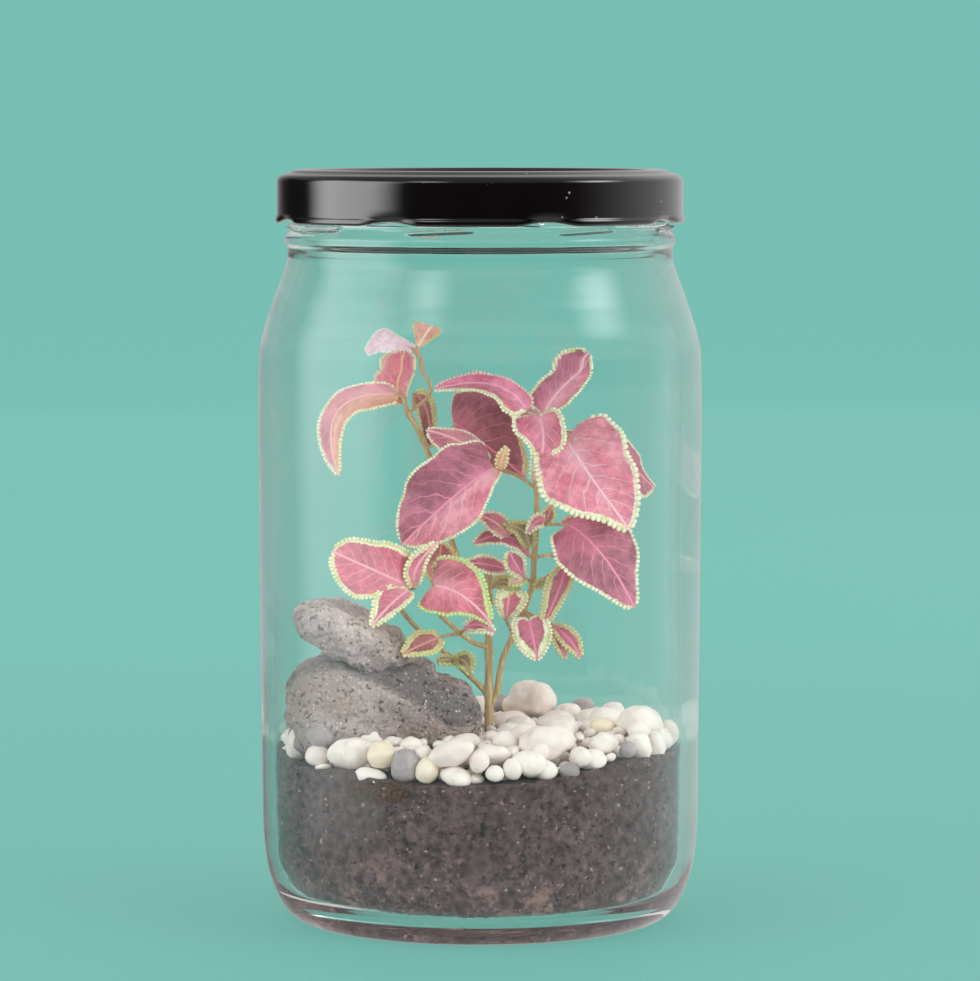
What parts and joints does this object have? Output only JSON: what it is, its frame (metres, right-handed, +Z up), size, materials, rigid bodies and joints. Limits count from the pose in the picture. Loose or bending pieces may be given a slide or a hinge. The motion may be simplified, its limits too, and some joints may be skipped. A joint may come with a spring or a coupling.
{
  "type": "glass plant terrarium",
  "caption": "Closed glass jar with a lugged lid, holding soil, pebbles, two leaning rocks and a small coleus plant.",
  "frame": {"origin": "middle of the jar's foot ring, on the surface that the jar stands on", "axes": "+Z up along the jar's axis, -Y towards the front in the picture, +X to the right"},
  "size_m": [0.1122, 0.1122, 0.1895],
  "materials": {
    "glass": "polished",
    "lid": "gloss",
    "liner": "satin",
    "soil": "matte",
    "rock": "matte",
    "white_stone": "satin",
    "grey_stone": "satin",
    "cream_stone": "satin",
    "leaf": "satin"
  },
  "bodies": {
    "jar": {"jar_glass": "glass", "soil": "soil", "rock_lower": "rock", "rock_upper": "rock", "grey_pebble_1": "grey_stone", "grey_pebble_2": "grey_stone", "grey_pebble_3": "grey_stone", "grey_pebble_4": "grey_stone", "grey_pebble_5": "grey_stone", "grey_pebble_6": "grey_stone", "cream_pebble_1": "cream_stone", "cream_pebble_2": "cream_stone", "cream_pebble_3": "cream_stone", "cream_pebble_4": "cream_stone", "white_pebbles": "white_stone", "shoot_main": "leaf", "shoot_upper_left": "leaf", "shoot_right": "leaf", "shoot_lower_left": "leaf", "shoot_mid_left": "leaf"},
    "lid": {"lid_shell": "lid", "lid_liner": "liner"}
  },
  "joints": [
    {"name": "lid_twist", "type": "hinge", "parent": "jar", "child": "lid", "pos_m": [0, 0, 0.183], "axis": [0, 0, 1], "range_deg": [0, 38]}
  ]
}
